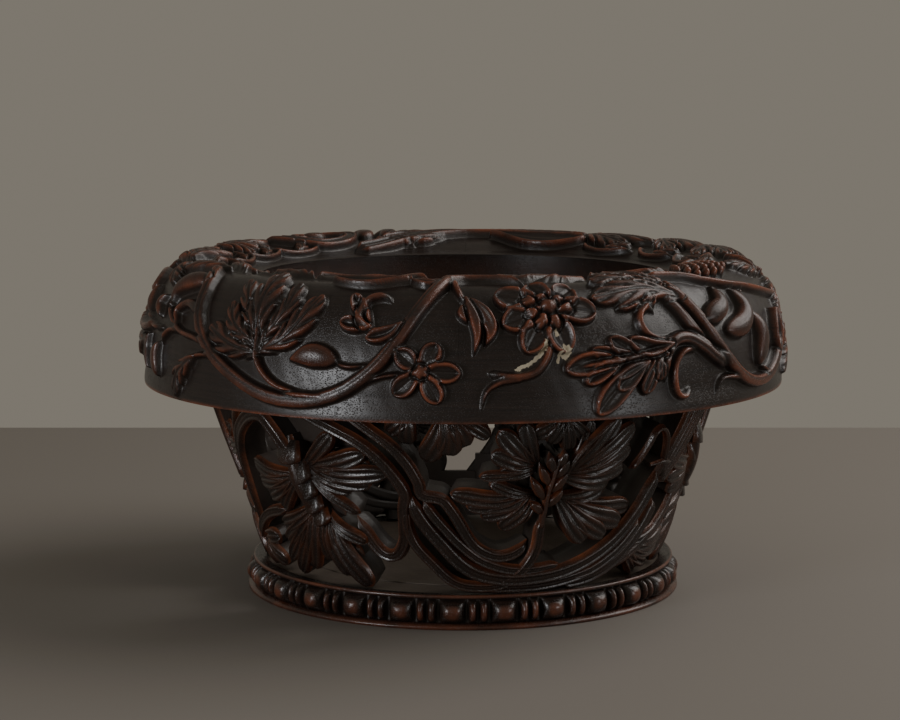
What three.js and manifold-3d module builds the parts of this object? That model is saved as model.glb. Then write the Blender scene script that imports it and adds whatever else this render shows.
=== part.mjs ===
// Carved wooden bowl: a wide rim ring on a flaring pierced body, on a round board with a
// bead-and-reel edge. Millimetres, +Z up, origin at the middle of the underside.
import * as THREE from 'three';
import { mergeVertices } from 'three/addons/utils/BufferGeometryUtils.js';
import Module from 'manifold-3d';

const wasm = await Module();
wasm.setup();

// ---- Driving dimensions -------------------------------------------------------------------

const jointGap = 0.3; // glue line between neighbouring pieces
const roundSteps = 40; // facets round every turned surface
const segmentCount = 8; // pieces in the body and in each layer of the rim
const mouldingCount = 9; // pieces in the moulding
const repeatCount = 4; // times the carved pattern repeats round the bowl

const boardRadius = 171; // round base board
const boardThickness = 27;
const seatDrop = 1; // the body stands on a seat turned this far below the board's floor

const mouldingDepth = 13; // from the board's edge to the moulding's plain face
const mouldingHeight = 28;
const mouldingFlange = 5; // thin plain foot under the beads
const beadRadius = 9.5; // half height of a bead
const beadProud = 4; // how far a bead stands out of that face
const beadsPerPiece = 3; // in each piece of the moulding, whose joints lie between beads
const beadTurn = -3; // one bead's turn from the front
const reelWidth = 3; // each of the two thin discs between beads
const reelProud = 2.5;
const reelGroove = 1; // cut between the two reels of a pair

const bodyFootInset = 1; // outside of the carving at its foot, in from the board's edge
const bodyTopRadius = 213; // outside of the carving under the rim
const bodyHeight = 155; // from its seat on the board to the rim
const wallThickness = 32;
const bodyRelief = 8; // depth of vine and leaves over the wall behind them

const rimEdgeRadius = 274; // sharp lower edge of the rim
const rimLipRadius = 174; // mouth
const rimCrestRadius = 226; // where the rim is highest
const rimRise = 104; // from the underside to the crest, before the relief
const rimLipDrop = 14.5; // lip below the crest
const rimSwell = 7; // pull of the outer face's curve past the lower edge
const rimShoulder = 0.56; // height share at which the outer face starts to turn in
const rimTopPull = 0.66; // how far the flat of the crest reaches back to the outer face
const rimInnerPull = 0.35; // and how far it reaches in towards the lip
const rimLipPull = 0.3; // how far the slope up from the lip runs before it flattens
const rimRelief = 6; // height of the relief over the rim's plain ground
const lowerLayerHeight = 50; // glue line between the two layers of the rim

const stemRadius = 7.5; // round stems of the vine scrolls
const stemSteps = 20; // sections along a stem
const plateNotch = 0.3; // how deep the notches between a body leaf's lobes are

// ---- Values that follow from them ---------------------------------------------------------

const DEG = Math.PI / 180;
const seatZ = boardThickness - seatDrop;
const bodyFootZ = seatZ + jointGap;
const bodyTopZ = bodyFootZ + bodyHeight;
const rimUnderZ = bodyTopZ + jointGap;
const rimCrestZ = rimUnderZ + rimRise;
const rimLipZ = rimCrestZ - rimLipDrop;
const layerZ = rimUnderZ + lowerLayerHeight;
const mouldingRadius = boardRadius + mouldingDepth;
const bodyFootRadius = boardRadius - bodyFootInset;
const segmentTurn = 360 / segmentCount;
const beadCount = mouldingCount * beadsPerPiece;
const beadPitch = 360 / beadCount;
const repeatTurn = 360 / repeatCount;
const staveJointTurn = 5; // where the first joint of each ring lies, from the front
const lowerJointTurn = 21.5;
const upperJointTurn = lowerJointTurn + segmentTurn / 2;
const mouldingJointTurn = beadTurn + beadPitch / 2;

// ---- Solids -------------------------------------------------------------------------------

/** A closed geometry as a solid that can be joined and cut. */
function solid(geometry) {
  const bare = geometry.clone();
  bare.deleteAttribute('normal');
  bare.deleteAttribute('uv');
  const merged = mergeVertices(bare, 1e-4);
  const index = merged.getIndex().array;
  const kept = [];
  for (let i = 0; i < index.length; i += 3) {
    const [a, b, c] = [index[i], index[i + 1], index[i + 2]];
    if (a !== b && b !== c && c !== a) kept.push(a, b, c);
  }
  const vertProperties = new Float32Array(merged.getAttribute('position').array);
  const triVerts = new Uint32Array(kept);
  return new wasm.Manifold(new wasm.Mesh({ numProp: 3, vertProperties, triVerts }));
}

/** A solid as a three.js geometry with flat faces. */
function geometryOf(shape) {
  const mesh = shape.getMesh();
  const geometry = new THREE.BufferGeometry();
  geometry.setAttribute('position', new THREE.BufferAttribute(mesh.vertProperties, 3));
  geometry.setIndex(new THREE.BufferAttribute(mesh.triVerts, 1));
  geometry.computeVertexNormals();
  return geometry;
}

/** Ring turned from a closed outline of (radius, height) points, listed anticlockwise. */
function turned(outline) {
  const points = [...outline, outline[0].clone()];
  const geometry = new THREE.LatheGeometry(points, roundSteps);
  geometry.rotateX(Math.PI / 2);
  return solid(geometry);
}

/** Joins a list of solids. */
function joined(shapes) {
  return shapes.reduce((whole, shape) => whole.add(shape));
}

/** Point at a turn from the front (degrees, towards +X), a radius and a height. */
function onCircle(turn, radius, z) {
  return new THREE.Vector3(radius * Math.sin(turn * DEG), -radius * Math.cos(turn * DEG), z);
}

/** The slice of space between two joints of a ring, less half a glue line on each side. */
function slice(firstTurn, wholeTurn) {
  const reach = 2 * rimEdgeRadius;
  const half = (wholeTurn / 2) * DEG;
  const apex = jointGap / 2 / Math.sin(half);
  const shape = new THREE.Shape();
  shape.moveTo(0, apex);
  shape.lineTo(-reach * Math.sin(half), apex + reach * Math.cos(half));
  shape.lineTo(reach * Math.sin(half), apex + reach * Math.cos(half));
  shape.closePath();
  const depth = 2 * rimCrestZ;
  const geometry = new THREE.ExtrudeGeometry(shape, { depth, bevelEnabled: false });
  geometry.translate(0, 0, -depth / 4);
  geometry.rotateZ(Math.PI + (firstTurn + wholeTurn / 2) * DEG);
  return solid(geometry);
}

/** A round stem swept through points, its section a six-sided circle. */
function stem(points, radius, steps) {
  const section = new THREE.Shape();
  section.absarc(0, 0, radius, 0, 2 * Math.PI);
  const geometry = new THREE.ExtrudeGeometry(section, {
    steps,
    curveSegments: 3,
    bevelEnabled: false,
    extrudePath: new THREE.CatmullRomCurve3(points),
  });
  return solid(geometry);
}

/** Leaf or flower outline: a circle drawn in between its lobes. */
function lobedOutline(radius, lobes, notch) {
  const points = [];
  const count = lobes * 4;
  for (let i = 0; i < count; i += 1) {
    const turn = (i / count) * 2 * Math.PI;
    const reach = radius * (1 - notch * (1 - Math.abs(Math.cos((lobes * turn) / 2))));
    points.push(new THREE.Vector2(reach * Math.cos(turn), reach * Math.sin(turn)));
  }
  return new THREE.Shape(points);
}

/** Egg-shaped opening outline, leaning to one side. */
function ovalOutline(width, height, lean) {
  const shape = new THREE.Shape();
  shape.absellipse(0, 0, width / 2, height / 2, 0, 2 * Math.PI, false, lean * DEG);
  return new THREE.Shape(shape.getPoints(6).slice(0, -1));
}

/** A prism of an outline, run through a point along a direction, upright side towards +Z. */
function prismThrough(outline, point, direction, back, front) {
  const geometry = new THREE.ExtrudeGeometry(outline, {
    depth: back + front,
    bevelEnabled: false,
  });
  geometry.translate(0, 0, -back);
  const out = direction.clone().normalize();
  const side = new THREE.Vector3(0, 0, 1).cross(out).normalize();
  const up = out.clone().cross(side);
  geometry.applyMatrix4(new THREE.Matrix4().makeBasis(side, up, out).setPosition(point));
  return solid(geometry);
}

const wood = (name, color, roughness) =>
  new THREE.MeshStandardMaterial({ name, color, roughness, metalness: 0 });
const rimWood = wood('rim_wood', 0x3a2a24, 0.42);
const bodyWood = wood('body_wood', 0x3f2f29, 0.5);
const mouldingWood = wood('moulding_wood', 0x4a3028, 0.42);
const boardWood = wood('board_wood', 0x4a4039, 0.65);

const bowl = new THREE.Group();

/** Adds one piece to the bowl under its own name. */
function place(name, shape, material) {
  const mesh = new THREE.Mesh(geometryOf(shape), material);
  mesh.name = name;
  bowl.add(mesh);
}

/** Cuts a ring into equal segments, the first one starting at a joint. */
function placeSegments(name, ring, count, jointTurn, material) {
  const wholeTurn = 360 / count;
  for (let i = 0; i < count; i += 1) {
    const piece = ring.intersect(slice(jointTurn + i * wholeTurn, wholeTurn));
    place(`${name}_${i + 1}`, piece, material);
  }
}

// ---- Base board: a turned disc with a floor that the body's pieces are set round -----------

const floorRadius = bodyFootRadius - wallThickness - jointGap;
const board = turned([
  new THREE.Vector2(0, 0),
  new THREE.Vector2(boardRadius, 0),
  new THREE.Vector2(boardRadius, seatZ),
  new THREE.Vector2(floorRadius, seatZ),
  new THREE.Vector2(floorRadius, boardThickness),
  new THREE.Vector2(0, boardThickness),
]);
place('base_board', board, boardWood);

// ---- Moulding: a ring with a flange, beads and pairs of reels, bored to fit the board ------

const mouldingInner = boardRadius + jointGap;
const beadZ = mouldingFlange + beadRadius;
const coreRadius = mouldingRadius - reelProud;
const core = turned([
  new THREE.Vector2(0, 0),
  new THREE.Vector2(mouldingRadius, 0),
  new THREE.Vector2(mouldingRadius, mouldingFlange),
  new THREE.Vector2(coreRadius, mouldingFlange + 1),
  new THREE.Vector2(coreRadius, beadZ + beadRadius - 2),
  new THREE.Vector2(mouldingRadius - beadProud, mouldingHeight),
  new THREE.Vector2(0, mouldingHeight),
]);
const bore = turned([
  new THREE.Vector2(0, -mouldingHeight),
  new THREE.Vector2(mouldingInner, -mouldingHeight),
  new THREE.Vector2(mouldingInner, 2 * mouldingHeight),
  new THREE.Vector2(0, 2 * mouldingHeight),
]);

/** Bead: an egg shape half sunk in the core. */
function bead(turn) {
  const geometry = new THREE.SphereGeometry(beadRadius, 8, 5);
  const reach = coreRadius + reelProud + beadProud - beadRadius;
  geometry.translate(...onCircle(turn, reach, beadZ));
  return solid(geometry);
}

/** Reel: a thin disc on edge, standing out of the core. */
function reel(turn) {
  const radius = beadRadius - 1;
  const geometry = new THREE.CylinderGeometry(radius, radius, reelWidth, 6);
  geometry.rotateZ(Math.PI / 2);
  geometry.rotateZ(turn * DEG);
  const reach = coreRadius + reelProud + 1 - radius;
  geometry.translate(...onCircle(turn, reach, beadZ));
  return solid(geometry);
}

const reelOffset = (reelWidth + reelGroove) / 2 / mouldingRadius / DEG;
const mouldingSolids = [core];
for (let i = 0; i < beadCount; i += 1) {
  const at = beadTurn + i * beadPitch;
  const between = at + beadPitch / 2;
  mouldingSolids.push(bead(at));
  mouldingSolids.push(reel(between - reelOffset));
  mouldingSolids.push(reel(between + reelOffset));
}
const moulding = joined(mouldingSolids).subtract(bore);
placeSegments('moulding', moulding, mouldingCount, mouldingJointTurn, mouldingWood);

// ---- Body: a flaring wall, pierced, with vine and leaves standing on it -------------------

/** Outside radius of the carving at a share of the body's height. */
function bodyRadius(rise) {
  return bodyFootRadius + (bodyTopRadius - bodyFootRadius) * rise;
}

/** Flaring ring between two depths behind the outside of the carving. */
function bodyShell(frontDepth, backDepth) {
  return turned([
    new THREE.Vector2(bodyFootRadius - backDepth, bodyFootZ),
    new THREE.Vector2(bodyFootRadius - frontDepth, bodyFootZ),
    new THREE.Vector2(bodyTopRadius - frontDepth, bodyTopZ),
    new THREE.Vector2(bodyTopRadius - backDepth, bodyTopZ),
  ]);
}

/** Point on the body, at a turn, a share of its height and a depth behind its outside. */
function onBody(turn, rise, depth) {
  return onCircle(turn, bodyRadius(rise) - depth, bodyFootZ + rise * bodyHeight);
}

// The openings in one repeat: turn, share of height, width, height, lean.
const openings = [
  { turn: -3, rise: 0.72, width: 46, height: 38, lean: 20 },
  { turn: -19, rise: 0.37, width: 26, height: 54, lean: 12 },
  { turn: -9, rise: 0.13, width: 34, height: 16, lean: -20 },
  { turn: 11.5, rise: 0.33, width: 26, height: 38, lean: -12 },
  { turn: 33, rise: 0.24, width: 44, height: 26, lean: 15 },
  { turn: 42, rise: 0.56, width: 34, height: 44, lean: -10 },
  { turn: 37, rise: 0.86, width: 20, height: 24, lean: 0 },
];

// The hanging vine of one repeat: turn and share of height along its middle.
const bodyVine = [
  [-38, 1.02], [-28, 0.91], [-20, 0.82], [-15, 0.66], [-10, 0.42], [-2, 0.21], [8, 0.1],
  [18, 0.07], [30, 0.09], [43, 0.18], [52, 0.34], [56, 0.53], [54, 0.72], [49, 1.02],
];
const bodyLeaves = [
  { turn: -42, rise: 0.46, radius: 46, lobes: 5 },
  { turn: 24, rise: 0.66, radius: 44, lobes: 5 },
];

const bodyPieces = [];
const bodyCuts = [];
for (let i = 0; i < repeatCount; i += 1) {
  const start = i * repeatTurn;
  const line = bodyVine.map(([turn, rise]) => onBody(start + turn, rise, stemRadius));
  bodyPieces.push(stem(line, stemRadius, stemSteps));
  for (const leaf of bodyLeaves) {
    const middle = onBody(start + leaf.turn, leaf.rise, bodyRelief);
    const out = onCircle(start + leaf.turn, 1, 0);
    const outline = lobedOutline(leaf.radius, leaf.lobes, plateNotch);
    bodyPieces.push(prismThrough(outline, middle, out, bodyRelief, 3 * bodyRelief));
  }
  for (const hole of openings) {
    const middle = onBody(start + hole.turn, hole.rise, wallThickness / 2);
    const out = onCircle(start + hole.turn, 1, 0);
    const outline = ovalOutline(hole.width, hole.height, hole.lean);
    bodyCuts.push(prismThrough(outline, middle, out, wallThickness, wallThickness));
  }
}
const bodyCarving = joined(bodyPieces).intersect(bodyShell(0, wallThickness));
const body = bodyShell(bodyRelief, wallThickness).subtract(joined(bodyCuts)).add(bodyCarving);
placeSegments('stave', body, segmentCount, staveJointTurn, bodyWood);

// ---- Rim: two layers of segments, rounded over the top, with scrolls and flowers ----------

/** The rim's rounded face from its lower edge over the crest to the lip, grown by a height. */
function rimFace(grow) {
  const lower = new THREE.Vector2(rimEdgeRadius + grow, rimUnderZ);
  const crest = new THREE.Vector2(rimCrestRadius, rimCrestZ + grow);
  const lip = new THREE.Vector2(rimLipRadius, rimLipZ + grow);
  const outerPull = new THREE.Vector2(
    rimEdgeRadius + rimSwell + grow,
    rimUnderZ + rimShoulder * rimRise,
  );
  const topPull = new THREE.Vector2(
    rimCrestRadius + rimTopPull * (rimEdgeRadius - rimCrestRadius),
    crest.y,
  );
  const innerPull = new THREE.Vector2(
    rimCrestRadius - rimInnerPull * (rimCrestRadius - rimLipRadius),
    crest.y,
  );
  const lipPull = new THREE.Vector2(
    rimLipRadius + rimLipPull * (rimCrestRadius - rimLipRadius),
    lip.y + rimLipDrop / 2,
  );
  const face = new THREE.CurvePath();
  face.add(new THREE.CubicBezierCurve(lower, outerPull, topPull, crest));
  face.add(new THREE.CubicBezierCurve(crest, innerPull, lipPull, lip));
  return face;
}

/** Ring under a rim face: rounded outside and top, flat underside, upright inner wall. */
function rimRing(grow) {
  const face = rimFace(grow);
  const outline = [new THREE.Vector2(rimLipRadius, rimUnderZ)];
  for (const curve of face.curves) outline.push(...curve.getPoints(5));
  return turned(outline.filter((p, i) => i === 0 || p.distanceTo(outline[i - 1]) > 1e-6));
}

/** Point on the rim's face at a turn and a share of the way from lower edge to lip. */
function onRim(turn, share, height) {
  const face = rimFace(0);
  const at = face.getPointAt(Math.min(share, 1));
  const along = face.getTangentAt(Math.min(share, 1));
  return onCircle(turn, at.x + height * along.y, at.y - height * along.x);
}

/** Direction straight out of the rim's face. */
function outOfRim(turn, share) {
  return onRim(turn, share, 1).sub(onRim(turn, share, 0));
}

// The scroll of one repeat: turn and share of the rim's face along its middle.
const rimScroll = [
  [-60, 0.82], [-57, 0.64], [-53, 0.48], [-49.5, 0.33], [-44, 0.2], [-36, 0.11], [-29, 0.08],
  [-22, 0.11], [-16, 0.2], [-11, 0.36], [-8, 0.48], [-5, 0.64], [-2, 0.82],
];
const rimOrnaments = [
  { turn: -35, share: 0.36, radius: 38, lobes: 5, notch: 0.35 },
  { turn: 14, share: 0.5, radius: 30, lobes: 7, notch: 0.5 },
  { turn: -4, share: 0.22, radius: 22, lobes: 5, notch: 0.4 },
  { turn: 36, share: 0.7, radius: 24, lobes: 5, notch: 0.35 },
  { turn: 28, share: 0.28, radius: 26, lobes: 5, notch: 0.35 },
];

const rimPieces = [];
for (let i = 0; i < repeatCount; i += 1) {
  const start = i * repeatTurn;
  const line = rimScroll.map(([turn, share]) => onRim(start + turn, share, rimRelief - stemRadius));
  rimPieces.push(stem(line, stemRadius, stemSteps));
  for (const ornament of rimOrnaments) {
    const turn = start + ornament.turn;
    const outline = lobedOutline(ornament.radius, ornament.lobes, ornament.notch);
    const out = outOfRim(turn, ornament.share);
    const middle = onRim(turn, ornament.share, 0);
    rimPieces.push(prismThrough(outline, middle, out, 2 * rimRelief, 3 * rimRelief));
  }
}
const rim = rimRing(0).add(joined(rimPieces).intersect(rimRing(rimRelief)));

/** Flat layer of space between two heights, wider than the rim. */
function layer(bottomZ, topZ) {
  const reach = 2 * rimEdgeRadius;
  const geometry = new THREE.CylinderGeometry(reach, reach, topZ - bottomZ, 8);
  geometry.rotateX(Math.PI / 2);
  geometry.translate(0, 0, (bottomZ + topZ) / 2);
  return solid(geometry);
}

const rimLower = rim.intersect(layer(0, layerZ - jointGap / 2));
const rimUpper = rim.intersect(layer(layerZ + jointGap / 2, 2 * rimCrestZ));
placeSegments('rim_lower', rimLower, segmentCount, lowerJointTurn, rimWood);
placeSegments('rim_upper', rimUpper, segmentCount, upperJointTurn, rimWood);

export default bowl;
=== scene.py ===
"""A carved hardwood bowl: wide rim ring in vine relief, pierced body, bead-and-reel base."""

import bpy
import numpy as np
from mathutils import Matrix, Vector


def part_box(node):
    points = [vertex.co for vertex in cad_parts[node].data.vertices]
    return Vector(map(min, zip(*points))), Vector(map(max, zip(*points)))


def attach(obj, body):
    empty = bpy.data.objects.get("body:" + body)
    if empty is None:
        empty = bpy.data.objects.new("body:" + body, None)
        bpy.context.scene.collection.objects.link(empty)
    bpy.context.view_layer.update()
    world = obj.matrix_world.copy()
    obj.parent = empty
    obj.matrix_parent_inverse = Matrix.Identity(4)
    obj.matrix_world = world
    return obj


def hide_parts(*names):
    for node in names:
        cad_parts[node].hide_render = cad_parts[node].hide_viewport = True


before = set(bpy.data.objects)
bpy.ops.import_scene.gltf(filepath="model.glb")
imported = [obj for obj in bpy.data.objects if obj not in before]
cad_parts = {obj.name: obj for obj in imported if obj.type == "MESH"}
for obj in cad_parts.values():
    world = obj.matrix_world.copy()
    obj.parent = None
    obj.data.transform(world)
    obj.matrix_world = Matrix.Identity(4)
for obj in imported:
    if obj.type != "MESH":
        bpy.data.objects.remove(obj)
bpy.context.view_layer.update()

# ---------------------------------------------------------------------------------------------
# Base board: a plain turned disc of hardwood, sawn and scraped flat, and never waxed, so it is
# dull and evenly greyed.


def linear(hex_colour):
    """sRGB hex to linear RGBA: ((c + 0.055) / 1.055) ** 2.4 above the toe of the curve."""
    srgb = np.array([int(hex_colour[i:i + 2], 16) for i in (0, 2, 4)]) / 255
    rgb = np.where(srgb > 0.04045, ((srgb + 0.055) / 1.055) ** 2.4, srgb / 12.92)
    return (*rgb, 1.0)


def add_node(tree, kind, settings=None, links=None):
    """One shader node: settings go to its properties or input values, links to its inputs. A
    link's source is an output, or a node that stands for its first output."""
    node = tree.nodes.new("ShaderNode" + kind)
    for key, value in (settings or {}).items():
        if isinstance(key, str) and hasattr(node, key):
            setattr(node, key, value)
        else:
            node.inputs[key].default_value = value
    for key, source in (links or {}).items():
        tree.links.new(getattr(source, "outputs", [source])[0], node.inputs[key])
    return node


def stained_hardwood(name, dark, ground, rubbed, roughness, grain_turns):
    """Dense hardwood stained near black and waxed by hand: dark stain stays in the hollows,
    rubbed edges show the red wood, dust greys the backs, and cream putty fills old losses. The
    grain follows the ring when grain_turns is true, else it stands upright."""
    material = bpy.data.materials.new(name)
    material.use_nodes = True
    tree = material.node_tree
    tree.nodes.clear()
    rub, dust, filler = (add_node(tree, "Attribute", {"attribute_name": key}).outputs["Fac"]
                         for key in ("rub", "dust", "filler"))
    place = add_node(tree, "TexCoord").outputs["Object"]
    axes = add_node(tree, "SeparateXYZ", links={"Vector": place}).outputs
    turn = add_node(tree, "Math", {"operation": "ARCTAN2"}, {0: axes["X"], 1: axes["Y"]})
    flat = add_node(tree, "CombineXYZ", links={"X": axes["X"], "Y": axes["Y"]})
    radius = add_node(tree, "VectorMath", {"operation": "LENGTH"}, {0: flat})
    along = add_node(tree, "Math", {"operation": "MULTIPLY", 1: 0.25}, {0: turn})
    unrolled = add_node(tree, "CombineXYZ", links={
        "X": along, "Y": radius.outputs["Value"], "Z": axes["Z"]})
    # grain lines 1.5 mm apart across the fibre and about 25 times longer along it
    stretch = (26.0, 650.0, 650.0) if grain_turns else (650.0, 650.0, 26.0)
    fibre = add_node(tree, "Mapping", {"Scale": stretch}, {"Vector": unrolled})
    grain = add_node(tree, "TexNoise", {"Scale": 1.0, "Detail": 4.0, "Roughness": 0.6},
                     {"Vector": fibre}).outputs["Fac"]
    # open pores about 0.4 mm wide and 1 mm long, one to every 3 square millimetres or so
    pore_stretch = (560.0, 1150.0, 1150.0) if grain_turns else (1150.0, 1150.0, 560.0)
    pore_place = add_node(tree, "Mapping", {"Scale": pore_stretch}, {"Vector": unrolled})
    pores = add_node(tree, "TexVoronoi", {"Scale": 1.0}, {"Vector": pore_place})
    pit = add_node(tree, "MapRange", {"From Min": 0.12, "From Max": 0.42},
                   {"Value": pores.outputs["Distance"]})
    blotch = add_node(tree, "TexNoise", {"Scale": 28.0, "Detail": 5.0, "Roughness": 0.65},
                      {"Vector": place}).outputs["Fac"]
    fine = add_node(tree, "TexNoise", {"Scale": 420.0, "Detail": 3.0},
                    {"Vector": place}).outputs["Fac"]
    # wear breaks up along the blotches, so no edge is rubbed evenly
    broken = add_node(tree, "MapRange", {"From Min": 0.34, "From Max": 0.68, "To Min": 0.12,
                                         "To Max": 1.15}, {"Value": blotch})
    worn = add_node(tree, "Math", {"operation": "MULTIPLY", "use_clamp": True},
                    {0: rub, 1: broken})
    banded = add_node(tree, "MapRange", {"From Min": 0.3, "From Max": 0.7}, {"Value": grain})
    stain = add_node(tree, "Mix", {"data_type": "RGBA", 6: linear(dark), 7: linear(ground)},
                     {"Factor": banded})
    edge = add_node(tree, "Mix", {"data_type": "RGBA", 7: linear(rubbed)},
                    {"Factor": worn, 6: stain.outputs[2]})
    # grey-brown dust on backs and in hollows
    grey = add_node(tree, "Math", {"operation": "MULTIPLY", "use_clamp": True, 1: 0.75},
                    {0: dust})
    dusty = add_node(tree, "Mix", {"data_type": "RGBA", 7: linear("3d352f")},
                     {"Factor": grey, 6: edge.outputs[2]})
    # chalky cream putty where a loss was once made up, bare at its crumbling edge
    crumbled = add_node(tree, "Math", {"operation": "MULTIPLY_ADD", 1: 1.5, 2: -0.75}, {0: fine})
    putty_edge = add_node(tree, "Math", {"operation": "ADD"}, {0: filler, 1: crumbled})
    putty = add_node(tree, "MapRange", {"From Min": 0.4, "From Max": 0.5}, {"Value": putty_edge})
    filled = add_node(tree, "Mix", {"data_type": "RGBA", 7: linear("b9ae97")},
                      {"Factor": putty, 6: dusty.outputs[2]})
    # duller in the pores, under dust and on putty, smoother where hands have rubbed it
    rough = add_node(tree, "MapRange", {"To Min": roughness + 0.14, "To Max": roughness + 0.34},
                     {"Value": fine})
    for source, share in ((pit, -0.22), (dust, 0.3), (worn, -0.12), (putty, 0.4)):
        rough = add_node(tree, "Math", {"operation": "MULTIPLY_ADD", 1: share},
                         {0: source, 2: rough})
    relief = add_node(tree, "Math", {"operation": "MULTIPLY_ADD", 1: 0.5}, {0: grain, 2: pit})
    bump = add_node(tree, "Bump", {"Strength": 0.4, "Distance": 0.0003}, {"Height": relief})
    shader = add_node(tree, "BsdfPrincipled", {"IOR": 1.5}, {
        "Base Color": filled.outputs[2], "Roughness": rough, "Normal": bump})
    add_node(tree, "OutputMaterial", links={"Surface": shader})
    return material


# bare dry wood: grey-brown, dull, and paler than all the rest
dull_board_wood = stained_hardwood("dull_scraped_hardwood", "4a4038", "62574b", "6a5a4a",
                                   0.6, True)
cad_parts["base_board"].data.materials.clear()
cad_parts["base_board"].data.materials.append(dull_board_wood)

# ---------------------------------------------------------------------------------------------
# Bead-and-reel moulding: an edge band carved from segments glued round the board. Barrel beads
# alternate with pairs of thin reels, over a thin plain flange. Fingers have rubbed the beads.


def on_circle(turn, radius, height):
    """Points in mm from a turn (degrees from the front towards +X), a radius and a height."""
    angle = np.radians(turn)
    return np.stack(np.broadcast_arrays(radius * np.sin(angle), -radius * np.cos(angle),
                                        height), -1)


def carve(name, parts, material, nodes):
    """One object made of closed solids. Each part is (loops, rub, dust, sharp), with its putty
    as a fifth item if it has any: loops is an array (n, m, 3) in mm of n closed cross-sections
    of m points. Neighbouring sections are joined by quads and the first and last are capped
    flat. A part whose signed volume, sum(a . (b x c)) / 6, is negative is turned the right way
    out. sharp lists the places round the section that are hard edges."""
    points, quads, caps, rubs, dusts, fillers, sharp_ends = [], [], [], [], [], [], []
    base = 0
    for loops, rub, dust, sharp, *putty in parts:
        n, m = loops.shape[:2]
        ids = base + np.arange(n * m).reshape(n, m)
        around = np.roll(ids, -1, axis=1)
        quad = np.stack([ids[:-1], around[:-1], around[1:], ids[1:]], -1).reshape(-1, 4)
        flat = loops.reshape(-1, 3)
        a, b, c, d = (flat[quad[:, k] - base] for k in range(4))
        middle = flat.mean(0)
        volume = (np.einsum("ij,ij->i", a - middle, np.cross(b - middle, c - middle))
                  + np.einsum("ij,ij->i", a - middle, np.cross(c - middle, d - middle))).sum()
        first, last = ids[0][::-1], ids[-1]
        if volume < 0:
            quad, first, last = quad[:, ::-1], first[::-1], last[::-1]
        points.append(flat)
        quads.append(quad)
        caps += [first, last]
        rubs.append(np.broadcast_to(rub, (n, m)).ravel())
        dusts.append(np.broadcast_to(dust, (n, m)).ravel())
        fillers.append(np.broadcast_to(putty[0] if putty else 0.0, (n, m)).ravel())
        for place in sharp:
            sharp_ends.append(np.stack([ids[:-1, place], ids[1:, place]], -1))
        for end in (ids[0], ids[-1]):
            sharp_ends.append(np.stack([end, np.roll(end, -1)], -1))
        base += n * m
    points = np.concatenate(points) / 1000
    quads = np.concatenate(quads)
    sizes = np.concatenate([np.full(len(quads), 4), [len(cap) for cap in caps]])
    corners = np.concatenate([quads.ravel(), *caps])
    mesh = bpy.data.meshes.new(name)
    mesh.vertices.add(len(points))
    mesh.vertices.foreach_set("co", points.astype(np.float32).ravel())
    mesh.loops.add(len(corners))
    mesh.loops.foreach_set("vertex_index", corners.astype(np.int32))
    mesh.polygons.add(len(sizes))
    mesh.polygons.foreach_set("loop_start", np.concatenate([[0], np.cumsum(sizes)[:-1]]))
    mesh.update(calc_edges=True)
    mesh.polygons.foreach_set("use_smooth", np.arange(len(sizes)) < len(quads))
    for key, values in (("rub", rubs), ("dust", dusts), ("filler", fillers)):
        layer = mesh.attributes.new(key, "FLOAT", "POINT")
        layer.data.foreach_set("value", np.concatenate(values).astype(np.float32))
    ends = np.zeros(len(mesh.edges) * 2, np.int64)
    mesh.edges.foreach_get("vertices", ends)
    ends = np.sort(ends.reshape(-1, 2), axis=1)
    wanted = np.sort(np.concatenate(sharp_ends), axis=1)
    hard = np.isin(ends[:, 0] * base + ends[:, 1], wanted[:, 0] * base + wanted[:, 1])
    mesh.attributes.new("sharp_edge", "BOOLEAN", "EDGE").data.foreach_set("value", hard)
    mesh.materials.append(material)
    mesh.validate()
    piece = bpy.data.objects.new(name, mesh)
    bpy.context.scene.collection.objects.link(piece)
    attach(piece, "root")
    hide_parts(*nodes)


def smoothstep(low, high, value):
    """3x^2 - 2x^3 of x = (value - low) / (high - low), held between 0 and 1."""
    x = np.clip((value - low) / (high - low), 0, 1)
    return x * x * (3 - 2 * x)


glue_gap = 0.1
bead_count = 27
moulding_segments = 9
first_bead = -3.0
bead_pitch = 360 / bead_count
moulding_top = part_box("moulding_1")[1].z * 1000
bead_face = 188.2
groove_face = 177.2
flange_height = 4.5
bead_height = 19.0
# along the ring: half lengths, and the reels' distance from the middle between two beads
bead_half = 10.9
reel_half = 3.7
reel_offset = 4.7
reel_stand = 0.86
fillet_radius = 182.5
moulding_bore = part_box("base_board")[1].x * 1000 + 0.3

# handled at every move of the piece, so glossier and a little lighter than the rim
waxed_moulding_wood = stained_hardwood("waxed_moulding_hardwood", "1b1411", "2c201b", "7d4630",
                                       0.22, True)


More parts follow.
